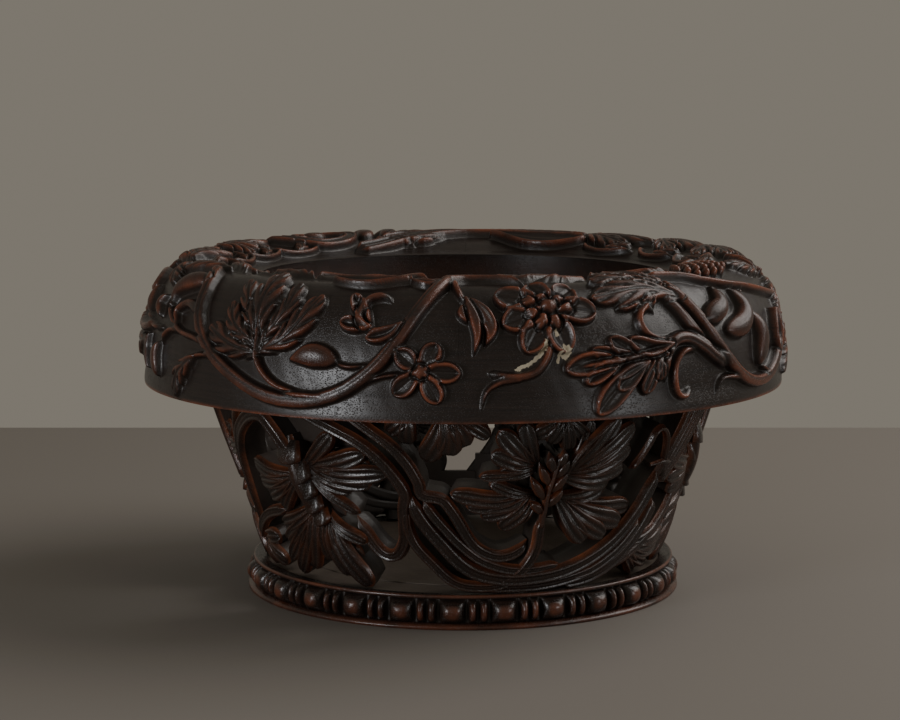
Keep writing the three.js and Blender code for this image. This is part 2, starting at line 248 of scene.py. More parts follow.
def moulding_loops(turn):
    """Sections of the moulding. Up the face, the outline is nearly a half ellipse of the bead
    height; along the ring it is scaled by a barrel, sqrt(1 - (x / half)^2.3), for the bead and
    by two narrow half ellipses for the reels, with a sharp groove down to the core between."""
    half = bead_pitch / 2
    x = (turn - first_bead + half) % bead_pitch - half
    mm = np.radians(1) * bead_face
    bead = np.sqrt(np.clip(1 - (np.abs(x) * mm / bead_half) ** 2.3, 0, 1))
    reel_place = np.abs(np.abs(x) - half) * mm
    reel = reel_stand * np.sqrt(np.clip(
        1 - (np.abs(reel_place - reel_offset) / reel_half) ** 2, 0, 1))
    swell = np.maximum(bead, reel)[:, None]
    t = np.linspace(0, 1, 28)[None, :]
    height = flange_height + bead_height * (0.5 - 0.5 * np.cos(np.pi * t))
    crown = np.sqrt(np.clip(1 - np.abs(np.cos(np.pi * t)) ** 2.1, 0, 1))
    radius = groove_face + (bead_face - groove_face) * crown * swell
    waver = 0.012 * np.sin(np.radians(7 * turn))[:, None]
    # corners as (radius, height): the flange under the beads, and the fillet over them
    foot = np.array([[moulding_bore, 0], [bead_face - 2.5, 0], [bead_face - 1.2, 1.0],
                     [bead_face - 1.6, flange_height - 1.2], [groove_face + 1, flange_height]])
    cove = np.array([
        [groove_face + 1.5, flange_height + bead_height + 0.2],
        [fillet_radius - 0.3, moulding_top - 3.2], [fillet_radius, moulding_top - 1.4],
        [fillet_radius - 0.7, moulding_top - 0.2], [fillet_radius - 2.0, moulding_top],
        [fillet_radius - 3.2, moulding_top - 0.7], [moulding_bore, moulding_top - 0.9]])
    rows = len(foot) + t.size + len(cove)
    radii = np.empty((len(turn), rows))
    heights = np.empty((len(turn), rows))
    radii[:, :len(foot)], heights[:, :len(foot)] = foot[:, 0], foot[:, 1]
    radii[:, -len(cove):], heights[:, -len(cove):] = cove[:, 0], cove[:, 1]
    body = slice(len(foot), len(foot) + t.size)
    radii[:, body] = radius + waver
    heights[:, body] = height
    rub = np.zeros_like(radii)
    rub[:, body] = smoothstep(0.72, 1.0, crown * swell) * 0.66 + 0.4 * smoothstep(
        0.5, 0.7, crown * swell) * (reel > bead)[:, None]
    rub[:, 1:4] = 0.45
    rub[:, -5:-3] = 0.5
    dust = np.zeros_like(radii)
    dust[:, body] = 0.5 * (1 - smoothstep(0.0, 0.5, crown * swell))
    return on_circle(turn[:, None], radii, heights), rub, dust, (0, 1, rows - 1, 4, rows - 7)


for i in range(moulding_segments):
    pitch = 360 / moulding_segments
    start = first_bead + bead_pitch / 2 + i * pitch
    turns = np.linspace(start, start + pitch, 271)
    turns[[0, -1]] += np.degrees(glue_gap / 2 / bead_face) * np.array([1, -1])
    carve(f"moulding_{i + 1}_carved", [moulding_loops(turns)], waxed_moulding_wood,
          [f"moulding_{i + 1}"])

# ---------------------------------------------------------------------------------------------
# Rim ring: two layers of eight glued segments, turned to a fat rounded section and then carved
# in relief. Vine scrolls, leaves and flowers stand 4 to 8 mm over a scraped ground, and the
# bean pods and the big flower's heart 11 mm; the inner wall and the flat underside were left
# plain.

rim_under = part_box("rim_lower_1")[0].z * 1000
rim_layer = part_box("rim_upper_1")[0].z * 1000
rim_edge_radius = 274.0
rim_lip_radius = 174.0
rim_crest_radius = 226.0
rim_height = 104.0
rim_crest = rim_under + rim_height
lip_drop = 14.5
rim_lip = rim_crest - lip_drop
lower_joint = 21.5
segment_turn = 45.0
segment_columns = 280

# near-black stain under a satin wax, rubbed red-brown along its raised edges
waxed_rim_wood = stained_hardwood("waxed_rim_hardwood", "16100e", "271d19", "7a432e", 0.3, True)


def bezier(points, t):
    """Cubic curve: (1-t)^3 a + 3 (1-t)^2 t b + 3 (1-t) t^2 c + t^3 d."""
    a, b, c, d = np.array(points, float)[:, None, :]
    t = t[:, None]
    return (1 - t) ** 3 * a + 3 * (1 - t) ** 2 * t * b + 3 * (1 - t) * t ** 2 * c + t ** 3 * d


across = rim_edge_radius - rim_crest_radius
inward = rim_crest_radius - rim_lip_radius
outer_face = bezier([(rim_edge_radius, rim_under),
                     (rim_edge_radius + 7, rim_under + 0.56 * rim_height),
                     (rim_crest_radius + 0.66 * across, rim_crest),
                     (rim_crest_radius, rim_crest)], np.linspace(0, 1, 400))
inner_face = bezier([(rim_crest_radius, rim_crest),
                     (rim_crest_radius - 0.35 * inward, rim_crest),
                     (rim_lip_radius + 0.3 * inward, rim_lip + lip_drop / 2),
                     (rim_lip_radius, rim_lip)], np.linspace(0, 1, 400))
rim_face = np.concatenate([outer_face, inner_face[1:]])
steps = np.diff(rim_face, axis=0)
face_way = np.concatenate([[0], np.cumsum(np.hypot(steps[:, 0], steps[:, 1]))])
# v grows by (length of way) / (radius), so a turn in radians and v make one even map
face_v = np.concatenate([[0], np.cumsum(np.diff(face_way) / rim_face[1:, 0])])
layer_way = np.interp(rim_layer, outer_face[:, 1], face_way[:400])
lower_rows = 64
upper_rows = 168
ways = np.concatenate([np.linspace(0, layer_way, lower_rows + 1),
                       np.linspace(layer_way, face_way[-1], upper_rows + 1)[1:]])
row_radius = np.interp(ways, face_way, rim_face[:, 0])
row_height = np.interp(ways, face_way, rim_face[:, 1])
row_slope = np.gradient(np.stack([row_radius, row_height], 1), ways, axis=0)
row_slope /= np.linalg.norm(row_slope, axis=1)[:, None]
row_out = np.stack([row_slope[:, 1], -row_slope[:, 0]], 1)
row_v = np.interp(ways, face_way, face_v)
column_count = int(360 / segment_turn) * segment_columns
column_turn = lower_joint + np.arange(column_count) * segment_turn / segment_columns
rim_degree = 4.5  # mm of rim per degree of turn, and its least radius where forms are laid out
least_radius = 170
tooth_depth = 0.24  # notches between a leaf's teeth, as a share of its half width


def spline(points, count):
    """Even points along a Catmull-Rom curve through the given ones:
    p = ((2b) + (c - a) t + (2a - 5b + 4c - d) t^2 + (3b - a - 3c + d) t^3) / 2."""
    points = np.array(points, float)
    if len(points) == 2:
        points = np.stack([points[0], points.mean(0), points[1]])
    ends = np.concatenate([[2 * points[0] - points[1]], points, [2 * points[-1] - points[-2]]])
    t = np.linspace(0, 1, 25)[:-1, None]
    runs = [(2 * b + (c - a) * t + (2 * a - 5 * b + 4 * c - d) * t ** 2
             + (3 * b - a - 3 * c + d) * t ** 3) / 2
            for a, b, c, d in zip(ends, ends[1:], ends[2:], ends[3:])]
    line = np.concatenate([*runs, points[-1:]])
    way = np.concatenate([[0], np.cumsum(np.linalg.norm(np.diff(line, axis=0), axis=1))])
    even = np.linspace(0, way[-1], count)
    return np.stack([np.interp(even, way, line[:, k]) for k in range(line.shape[1])], 1)


def outline(form, t):
    """Share of the full half width at a share t of the length. A leaf or bud swells as a quarter
    sine wave from its root to its fattest place, and closes as a quarter ellipse, or as
    1 - x^1.7 for a blade. A stem is even, with short rounded ends, and a tail thins as
    (1 - t)^0.7."""
    t = np.clip(t, 0, 1)
    if form in ("stem", "ribbed"):
        return smoothstep(-0.02, 0.05, t) * smoothstep(-0.02, 0.07, 1 - t)
    if form == "tail":
        return 0.12 + 0.88 * (1 - t) ** 0.7
    fat = {"lobe": 0.74, "petal": 0.62, "bud": 0.52, "blade": 0.45, "scale": 0.7, "bean": 0.6,
           "frond": 0.6}[form]
    root = {"lobe": 0.5, "petal": 0.3, "bud": 0.12, "blade": 0.25, "scale": 0.7, "bean": 0.5,
            "frond": 0.36}[form]
    rise = root + (1 - root) * np.sin(np.pi / 2 * np.clip(t / fat, 0, 1))
    past = np.clip((t - fat) / (1 - fat), 0, 1)
    fall = 1 - past ** 1.7 if form == "blade" else np.sqrt(1 - past ** 2)
    return np.where(t < fat, rise, fall)


def veins(form, t, w):
    """Gouged grooves of a toothed leaf, 1 at their bottoms: a raised cosine in t - 0.38 |w|,
    narrowed by a power, so they run forward from the midrib and end at the notches between the
    teeth."""
    if form != "frond":
        return np.zeros_like(t + w)
    wave = 0.5 + 0.5 * np.cos(2 * np.pi * (3.7 * (t - 0.38 * np.abs(w)) + 0.3))
    return wave ** 2.6 * smoothstep(0.1, 0.5, np.abs(w)) * smoothstep(1.02, 0.9, t)


def crown(form, t, w, edge):
    """Height share over a form: t along, w across (-1 to 1), edge the mm left to its outline.
    Stems are domes with a fine groove, and ribbed stems have three ridges. Lobes are fluted,
    fronds are gouged along their veins, blades fall away from the middle, and petals are dished
    with a rolled margin. Buds and beans are plain domes, and scales rise towards their tips."""
    dome = np.sqrt(np.clip(1 - w ** 2, 0, 1))
    margin = np.exp(-((edge - 1.6) / 1.3) ** 2)
    if form in ("stem", "tail"):
        return dome * (1 - 0.16 * np.exp(-((w + 0.3) / 0.14) ** 2))
    if form == "ribbed":
        ridges = np.exp(-((np.abs(w) - 0.62) / 0.22) ** 2)
        return dome ** 0.7 * (0.66 + 0.34 * ridges + 0.12 * np.exp(-(w / 0.1) ** 2))
    if form in ("bud", "bean"):
        return (dome * np.sqrt(np.clip(np.sin(np.pi * np.clip(0.06 + 0.9 * t, 0, 1)), 0, 1)))
    if form == "scale":
        return 0.35 + 0.65 * dome * np.clip(t, 0, 1) ** 0.7
    if form == "petal":
        rolled = np.exp(-((edge - 2.2) / 2.3) ** 2)
        return 0.46 + 0.46 * rolled + 0.22 * (1 - t) - 0.14 * np.exp(-(w / 0.1) ** 2)
    if form == "frond":
        return (0.7 + 0.3 * np.sin(np.pi * np.clip(t, 0, 1) ** 0.8)) * (
            0.94 - 0.2 * w ** 2 - 0.42 * veins(form, t, w) - 0.24 * np.exp(-(w / 0.08) ** 2))
    rise = 0.72 + 0.28 * np.sin(np.pi * np.clip(t, 0, 1) ** 0.8)
    flutes = 0.2 * np.cos(3 * np.pi * w) * np.sin(np.pi * np.clip(t, 0, 1)) ** 0.5
    if form == "blade":
        return rise * (0.92 - 0.38 * np.abs(w) ** 1.3 + 0.2 * margin)
    return rise * (0.84 - 0.18 * w ** 2 + flutes + 0.1 * margin)


def length_of(line):
    """Length of a line of points."""
    return np.linalg.norm(np.diff(line, axis=0), axis=1).sum()


height_map = np.zeros((column_count, len(ways)))
column_angle = np.radians(column_turn)


def carve_relief(form, half_width, height, points):
    """Raises one form on the rim. The form follows a curve through (turn, way) points on the
    even map of turn and v; each sample takes its nearest place t on the curve and its offset
    w = distance / half width, and the higher of what is there and the form stands. A moat
    is cut round the form into what lies below, 1.5 mm wide round a leaf and 2.6 mm round the
    others."""
    points = np.array(points, float)
    mapped = np.stack([np.radians(points[:, 0]), np.interp(points[:, 1], face_way, face_v)], 1)
    line = spline(mapped, 34 if len(points) > 4 else 18)
    reach = (half_width + 3) / least_radius
    first = np.floor((np.degrees(line[:, 0].min() - reach) - column_turn[0])
                     * segment_columns / segment_turn).astype(int)
    last = np.ceil((np.degrees(line[:, 0].max() + reach) - column_turn[0])
                   * segment_columns / segment_turn).astype(int)
    columns = np.arange(first, last + 1)
    rows = np.flatnonzero((row_v > line[:, 1].min() - reach) & (row_v < line[:, 1].max() + reach))
    u = np.radians(column_turn[0] + columns * segment_turn / segment_columns)[:, None]
    v = row_v[rows][None, :]
    scale = row_radius[rows][None, :]
    best = np.full((len(columns), len(rows)), 1e9)
    place = np.zeros_like(best)
    side = np.zeros_like(best)
    count = len(line) - 1
    for k, (a, b) in enumerate(zip(line, line[1:])):
        du, dv = b - a
        length = np.hypot(du, dv) + 1e-12
        at = np.clip(((u - a[0]) * du + (v - a[1]) * dv) / length ** 2, 0, 1)
        off_u, off_v = u - a[0] - at * du, v - a[1] - at * dv
        distance = np.hypot(off_u, off_v)
        nearer = distance < best
        best = np.where(nearer, distance, best)
        place = np.where(nearer, (k + at) / count, place)
        side = np.where(nearer, np.sign(off_u * dv - off_v * du), side)
    best = best * scale
    half = half_width * outline(form, place)
    w = side * np.clip(best / np.maximum(half, 0.3), 0, 1)
    edge = half * (1 - tooth_depth * veins(form, place, w)) - best
    wall = smoothstep(0, 1.7, edge)
    form_height = height * crown(form, place, w, edge) * wall
    window = np.ix_(columns % column_count, rows)
    below = height_map[window]
    leafy = form in ("lobe", "petal", "blade", "scale", "frond")
    moat = (0.5 if leafy else 0.75) * smoothstep(-1.5 if leafy else -2.6, -0.2, edge) * (edge < 0)
    if form in ("stem", "ribbed", "tail"):
        # a stem runs out into whatever it springs from, with no moat and no step
        ends = np.minimum(place, 1 - place) * length_of(line) * least_radius
        moat *= smoothstep(3, 15, ends)
        if form != "tail":
            form_height *= 0.35 + 0.65 * smoothstep(0, 9, ends)
    height_map[window] = np.maximum(below * (1 - moat), form_height)


def fan(form, half_width, height, root, tips, bend=0.0):
    """Lobes from one root to several tips, each bent sideways by a share of its length."""
    for tip in tips:
        run = np.subtract(tip[:2], root)
        middle = np.add(root, 0.5 * run) + bend * np.array([-run[1] / rim_degree,
                                                               run[0] * rim_degree])
        wide = half_width * (tip[2] if len(tip) > 2 else 1)
        carve_relief(form, wide, height, [root, tuple(middle), tip[:2]])


def lay_out(design, along_curve, from_root):
    """Carves the rows of a design in order: (form, half width, height, curve of points, ...), or
    (form, half width, height, root point, tips, ...) for lobes that share a root."""
    for row in design:
        (from_root if isinstance(row[3], tuple) else along_curve)(*row)


def berries(turn, way):
    """Rows of berries set like bricks on a dome: each stands 1 - x^2 - y^2 of the dome's height
    at (x, y) from its middle."""
    rows = []
    for row in range(5):
        for k in range(6):
            x, y = (k + 0.5 * (row % 2) - 2.75) / 3.2, (row - 2) / 2.6
            standing = 1 - x ** 2 - y ** 2
            if standing > 0.02:
                at_turn, at_way = turn + 9.4 * x, way + 15 * y
                rows.append(("bean", 4.4, 5.4 + 2.0 * standing,
                             [(at_turn + 0.8, at_way + 3.4), (at_turn - 0.6, at_way - 3.2)]))
    return rows


# the big flower's heart, its petals' tips and the stamens half way out to them
heart_turn, heart_way = 14.3, 90
flower = [(5.0, 102), (6.2, 76), (9.8, 54), (16.8, 53), (22.8, 84), (19.5, 107), (11.5, 113)]
stamens = [(heart_turn + 0.52 * (turn - heart_turn), heart_way + 0.52 * (way - heart_way))
           for turn, way in flower]
# the design on the front half: degrees round from the front, mm up the face from its lower edge
front_design = [
    # thin stem that springs from the left scroll and curls up into the big leaf
    ("stem", 3.3, 5.6, [(-21, 19), (-24, 18), (-28.5, 19.5), (-32.5, 26), (-35, 36), (-36, 46),
     (-36.2, 62)]),
    # left scroll, rising from the crest, round under the big leaf and up to the lip
    ("stem", 6.5, 5.2, [(-60, 126), (-57, 113), (-54.5, 98), (-53.5, 84), (-52, 68), (-49.5, 54),
     (-46, 41), (-41, 28), (-36, 18), (-31, 13.5), (-25, 15), (-20, 23), (-16, 36), (-13, 50),
     (-10.5, 67), (-8.2, 85), (-5.8, 103), (-3.6, 120), (-2, 133)]),
    # side branches at the far left with buds, a curled leaf and a small lobed leaf
    ("stem", 3.6, 4.2, [(-48, 48), (-52, 53), (-57, 56), (-60, 61), (-63, 69), (-64.5, 78),
     (-64, 86)]),
    ("stem", 3.2, 4, [(-57, 56), (-61, 56), (-63.5, 50), (-65.5, 42)]),
    ("bud", 7.5, 5.5, [(-65.5, 45), (-67, 31), (-66, 14)]),
    ("bean", 9.5, 7, [(-64.6, 78), (-64, 89), (-60.5, 99), (-55, 105)]),
    ("tail", 6, 4.5, [(-54, 77), (-57.5, 80), (-60.5, 72), (-59, 60)]),
    ("bud", 5.5, 4.8, [(-68.5, 84), (-70.5, 74), (-68.5, 63)]),
    ("stem", 3, 4, [(-45.5, 40), (-49.5, 41), (-54, 36), (-57, 31)]),
    ("frond", 9.5, 4.6, [(-52, 38), (-56.5, 22), (-58, 3)]),
    ("blade", 6, 4.2, [(-72, 18), (-74, 34), (-72.5, 50)]),
    ("frond", 9.5, 5.2, [(-58, 129), (-66, 124), (-74, 110)]),
    ("frond", 8.5, 5, [(-76, 118), (-74, 104), (-70, 94)]),
    ("stem", 3.4, 4, [(-78, 66), (-74, 60), (-70, 55), (-66, 55)]),
    ("bud", 6.5, 5.2, [(-80, 88), (-79, 74), (-76, 62)]),
    ("frond", 12, 4.8, [(-76, 40), (-82, 36), (-90, 26)]),
    ("stem", 4.4, 5, [(-69, 58), (-76, 51), (-84, 49), (-91, 56), (-96, 69), (-96, 84),
     (-91, 95), (-85.5, 92), (-84, 82), (-88, 76)]),
    ("frond", 9.5, 5, [(-94, 88), (-98, 101), (-96, 116)]),
    ("frond", 9.5, 5, [(-88, 52), (-96, 42), (-101, 26)]),
    ("bean", 6.5, 5.6, [(-95, 64), (-101, 60), (-105, 50)]),
    # big fan leaf and the thin stem that curls up into it
    ("bud", 18, 3.4, [(-36, 48), (-37, 78), (-36.5, 110)]),
    ("frond", 13, 5, [(-36.2, 48), (-42, 53), (-48.5, 65)]),
    ("frond", 10, 5.2, [(-37, 56), (-42, 70), (-44.4, 88)]),
    ("frond", 10, 5.4, [(-36.5, 60), (-40, 86), (-43.8, 110)]),
    ("frond", 9, 5.2, [(-35.4, 56), (-31.6, 84), (-31.4, 112)]),
    ("frond", 11.5, 5.6, [(-35.4, 50), (-30, 64), (-25.2, 99)]),
    ("frond", 14, 6.2, [(-36, 54), (-37, 86), (-37, 124)]),
    ("tail", 2.6, 6, [(-36.1, 44), (-36.2, 58), (-36.8, 82)]),
    # almond bud
    ("stem", 2.4, 4.4, [(-15.5, 44), (-18.5, 42), (-20.5, 43.5), (-21.8, 48)]),
    ("bud", 10.5, 6.4, [(-29.6, 45), (-25.4, 49.5), (-20.8, 46.5)]),
    # curled three-lobed leaf hanging from the stem
    ("petal", 7.4, 5, (-15.6, 73), [(-21.2, 77), (-19.8, 101)]),
    ("stem", 3.8, 4.8, [(-9.8, 79), (-12.5, 73), (-15.5, 71), (-17.6, 78), (-17.6, 89),
     (-16.4, 98), (-14, 100.5), (-12.6, 96)]),
    ("petal", 6.4, 5, [(-10.4, 77), (-12.6, 69), (-16.4, 64)]),
    # leaves lying along the lip
    ("petal", 8, 4.6, [(-10.5, 127), (-18, 120), (-26.5, 124)]),
    ("lobe", 5.5, 4.4, [(-4, 128), (-7, 119), (-10.5, 131)]),
    # small flower of five petals
    ("stem", 2.4, 3.8, [(-16.5, 29), (-14, 34.5), (-11.5, 37), (-8.5, 38)]),
    ("petal", 9.2, 5, (-7, 40), [(-11, 56), (-4.4, 62), (-0.6, 39), (-4, 16), (-11.4, 22)]),
    ("bud", 5.6, 6.4, [(-8.3, 37.5), (-5.8, 42)]),
    # ribbon along the lip and the calyx that hangs from it
    ("tail", 5.6, 5.2, [(-3.5, 128), (0, 136), (4, 135), (8, 129), (11.5, 120)]),
    ("blade", 4.4, 4.6, [(0.3, 95), (-0.5, 86), (0.8, 76)]),
    ("blade", 7.4, 5.4, [(0.2, 100), (3.2, 84), (4.3, 72), (3.2, 58)]),
    ("blade", 4.8, 5.8, [(0, 100), (1.6, 80), (2, 66), (1.3, 50)]),
    ("stem", 3.2, 5, [(-2.2, 126), (-1.6, 114), (-0.8, 103), (0.6, 94)]),
    # big flower of seven petals with its tail
    ("stem", 4.2, 4.4, [(14, 70), (13.7, 56), (13, 48), (11.6, 40), (9.6, 36.5), (6.8, 36),
     (3.6, 39)]),
    ("tail", 4.2, 4.2, [(8.6, 35), (5.5, 31.5), (3.4, 24), (2.6, 10)]),
    ("petal", 11.8, 5.2, (heart_turn, heart_way), flower),
    *[("bean", 4.6, 5.8, [(heart_turn + 0.16 * (turn - heart_turn),
                           heart_way + 0.16 * (way - heart_way)), (turn, way)])
      for turn, way in stamens],
    ("bean", 6.2, 6.8, [(12.7, 90), (15.9, 90)]),
    # right scroll with its broad second ridge
    ("stem", 6.6, 4.2, [(33.5, 118), (37, 100), (39.6, 84), (42, 66), (45.4, 50), (49, 36)]),
    ("stem", 6, 5.6, [(34, 128), (37, 112), (40.3, 99), (42.6, 84), (45, 67), (47.2, 52),
     (50, 37), (53.5, 24), (58, 16), (63, 15.5), (67.5, 22), (71, 34), (74, 50)]),
    # long acanthus leaf over the crest
    ("bud", 15, 3.2, [(38, 104), (31, 108), (24, 104)]),
    ("frond", 9.5, 5.4, [(38.5, 108), (33.6, 124), (26, 134)]),
    ("frond", 10, 5.6, [(38.5, 104), (32, 113), (24, 118)]),
    ("lobe", 6.2, 5, (35.5, 98), [(27, 87), (30.3, 85), (33.4, 88)]),
    ("frond", 12.5, 6, [(41, 92), (33, 101), (22.4, 96)]),
    # second branch with its curls and hooks
    ("stem", 3.8, 4.6, [(38, 60), (34.5, 58.5), (31.8, 64), (30.7, 74), (31.6, 83), (33.4, 86),
     (34.6, 81)]),
    ("stem", 6, 5, [(50, 33), (46.5, 41), (43.5, 51), (40.3, 58.5), (37.5, 58), (35.4, 50),
     (34.4, 38), (34.6, 26)]),
    ("stem", 3.4, 5, [(42, 49), (39, 48.5), (37, 41), (36.4, 30), (37, 17), (38.7, 13.5),
     (40.6, 19)]),
    ("tail", 3.6, 4.2, [(53, 22), (49.5, 23.5), (47.6, 21), (46.6, 9)]),
    # feathered leaf that points left
    ("bud", 14, 2.6, [(35, 48), (28, 42), (19, 38)]),
    ("petal", 8.8, 5.2, (30, 47), [(20.6, 54, 0.9), (24.2, 63)], 0.05),
    ("petal", 9.2, 5.2, (31, 44), [(24.2, 33, 0.9), (25.2, 23), (21.6, 5, 1.25)], -0.05),
    ("petal", 9, 5.4, (26, 45), [(19.6, 29, 0.9), (16.2, 40, 1.1)], -0.05),
    ("lobe", 7.2, 5.2, (33.5, 46), [(30.2, 18, 1.1), (33.4, 27, 0.8)], -0.04),
    ("petal", 8.2, 5.6, [(36, 55), (31.8, 53), (27.6, 61)]),
    ("stem", 2.6, 5, [(36, 54), (32, 49), (27, 46.5), (22, 44), (17.6, 40.5)]),
    # beans on stalks
    ("stem", 2.8, 4.2, [(51.4, 104), (51.6, 97), (50.8, 90)]),
    ("bean", 10, 7, [(52, 95), (50.6, 80), (45.4, 71)]),
    ("stem", 2.8, 4.2, [(63, 95), (61, 91), (58.8, 85)]),
    ("bean", 10.5, 7, [(57.8, 92), (58.4, 75), (55.8, 63), (50.4, 60)]),
    ("stem", 2.6, 4.2, [(66, 20), (62.5, 24), (60.5, 34)]),
    ("bean", 10, 7, [(61.4, 70), (62.4, 50), (60.4, 27)]),
    # vine along the shoulder, and the berry cluster over it
    ("stem", 3.8, 4.8, [(37, 122), (45, 116), (51, 106), (57, 99), (62, 95), (68, 89), (75, 82),
     (82, 77)]),
    ("bud", 17, 4.2, [(46, 121), (56, 126), (66, 122)]),
    *berries(56, 124),
    # leaf with a turned-over square end at the far right
    ("petal", 12, 5.6, [(72, 66), (71.5, 50), (72.5, 33)]),
    ("frond", 10, 5.4, [(76, 64), (77, 50), (78, 34)]),
    ("frond", 10, 5.2, [(88, 90), (82, 76), (79.5, 58)]),
    ("frond", 10, 5, [(79, 100), (74, 112), (70, 124)]),
    ("frond", 12, 5.2, [(79, 100), (84, 112), (88, 128)]),
    ("stem", 4, 4.4, [(74, 50), (78, 62), (84, 70), (92, 74), (99, 72)]),
    ("frond", 9, 4.8, [(88, 40), (84, 24), (79, 10)]),
    ("frond", 10, 4.8, [(88, 40), (91, 24), (92, 8)]),
]
# leaves, a curl and a ribbon over the crest at the back, reaching in to the lip
crest_design = [
    *[("frond", 10.5, 5.8, [(252, 122), ((251 + turn) / 2, (122 + way) / 2 + 3), (turn, way)])
      for turn, way in [(235, 110), (233, 130), (239, 150), (250, 158)]],
    ("ribbed", 7.5, 6.2, [(232, 117), (227, 138), (220, 154), (212, 149), (208.6, 132), (213, 118),
     (220, 115), (225.5, 127), (219.5, 138)]),
    ("bean", 8.5, 7, [(221.5, 130), (215, 130)]),
    ("bean", 9.5, 6.8, [(206, 108), (203.6, 122), (205.4, 138)]),
    ("bean", 9.5, 6.8, [(200.5, 106), (197.6, 120), (199.4, 138)]),
    ("frond", 12, 6, [(203, 150), (195, 136), (185, 114)]),
    ("frond", 12, 6, [(203, 152), (193, 150), (184, 134)]),
    ("ribbed", 9.5, 6.6, [(212, 170), (203, 162), (193, 146), (184, 130), (177, 121), (169, 122),
     (160, 132), (150, 131)]),
    ("petal", 15, 6, [(172, 136), (160, 151), (147, 141)]),
    ("petal", 11, 5.8, [(175, 114), (162, 111), (150, 117)]),
    *[("frond", 11, 6, [root, ((root[0] + tip[0]) / 2, (root[1] + tip[1]) / 2 + 2), tip])
      for root, *tips in [((149, 130), (131, 112), (128, 131), (133, 150)),
                          ((127, 126), (112, 108), (109, 128), (114, 150)),
                          ((107, 122), (94, 106), (91, 126), (97, 148)),
                          ((273, 122), (259, 106), (255.5, 128), (261, 148))]
      for tip in tips],
    # leaves and curls that fill the inner slope between the larger forms
    *[row for turn in (98, 118, 138, 232, 247, 262) for row in (
        ("frond", 7.5, 4.6, [(turn, 166), (turn - 4, 156), (turn - 6, 144)]),
        ("stem", 3.2, 4.2, [(turn + 8, 150), (turn + 5, 162), (turn, 167), (turn - 6, 164),
                            (turn - 10, 156)]))],
]
lay_out(front_design, carve_relief, fan)
front_map = height_map.copy()
height_map[:] = 0
lay_out(crest_design, carve_relief, fan)
# the back repeats the front's design up to the shoulder, half a turn round
shoulder = smoothstep(112, 100, ways)[None, :]
back_map = np.roll(front_map, column_count // 2, axis=0)
away = np.abs((column_turn + 180) % 360 - 180)[:, None]
height_map[:] = np.maximum(height_map, np.where(away > 90, back_map * shoulder, 0))
inner_slope = smoothstep(134, 142, ways)[None, :]
crest_again = np.roll(height_map, column_count // 2, axis=0) * inner_slope
height_map[:] = np.maximum(np.maximum(height_map, front_map), crest_again)


def softened(field, times):
    """Repeated 1-2-1 average along the turn (which closes on itself) and along the way."""
    for _ in range(times):
        field = (np.roll(field, 1, 0) + 2 * field + np.roll(field, -1, 0)) / 4
        padded = np.pad(field, ((0, 0), (1, 1)), "edge")
        field = (padded[:, :-2] + 2 * field + padded[:, 2:]) / 4
    return field


# hand-scraped ground: slow waves of a fifth of a millimetre that no tool leaves quite flat
wave_turn = column_angle[:, None]
ground_waves = (0.09 * np.sin(23 * wave_turn + ways[None, :] / 9)
                + 0.06 * np.sin(41 * wave_turn - ways[None, :] / 14 + 1.3)
                + 0.04 * np.sin(113 * wave_turn + ways[None, :] / 6 + 0.4))
height_map = softened(height_map, 1)
open_ground = 1 - smoothstep(0.2, 1.5, height_map)
rub_map = np.clip((height_map - softened(height_map, 14)) / 1.1, 0, 1)
rub_map *= smoothstep(2.2, 4.4, height_map)
hollow_map = np.clip((softened(height_map, 14) - height_map) / 1.1, 0, 1)
rub_map = np.maximum(rub_map, np.exp(-(ways[None, :] / 1.6) ** 2))
# the ground was cut 3 mm below the edge band and the lip; forms stand boldness times as high as
# their rows say, and none stands past the blank
ground_cut = 3
boldness = 1.6
blank_radius = 279.8
blank_top = 291.5
sunk = smoothstep(0, 20, ways) * smoothstep(face_way[-1], face_way[-1] - 14, ways)
height_map = (height_map * (1 + (boldness - 1) * sunk) - ground_cut * sunk
              + ground_waves * open_ground * sunk)
room = np.minimum((blank_radius - row_radius) / np.maximum(row_out[:, 0], 0.05),
                  (blank_top - row_height) / np.maximum(row_out[:, 1], 0.05))
standing = np.maximum(height_map, 0)
height_map = np.where(height_map > 0, standing / (1 + (standing / room) ** 6) ** (1 / 6),
                      height_map)

putty_map = np.zeros_like(height_map)
shoulder_degree = 4.3  # mm of rim per degree of turn up by the big flower


def fill_loss(half_width, points):
    """Marks putty along a curve of (turn, way): 1 at its middle, 0 at the half width in mm."""
    apart = np.full_like(putty_map, 1e3)
    for turn, way in spline(points, 40):
        across_turn = (column_turn[:, None] + 180 - turn) % 360 - 180
        apart = np.minimum(apart, np.hypot(across_turn * shoulder_degree, ways[None, :] - way))
    putty_map[:] = np.maximum(putty_map, np.clip(1 - apart / half_width, 0, 1))


# losses made up with cream putty on the big flower: a lower petal's edge, a drip and a spot
fill_loss(2.7, [(13.2, 62), (12.8, 57), (12.2, 52), (10.6, 46), (8.4, 41.5)])
fill_loss(4.4, [(16.4, 57.5), (16.9, 54), (16.5, 51)])
fill_loss(1.8, [(15.6, 54), (15.2, 46)])
fill_loss(2.4, [(15.0, 70), (15.2, 67)])


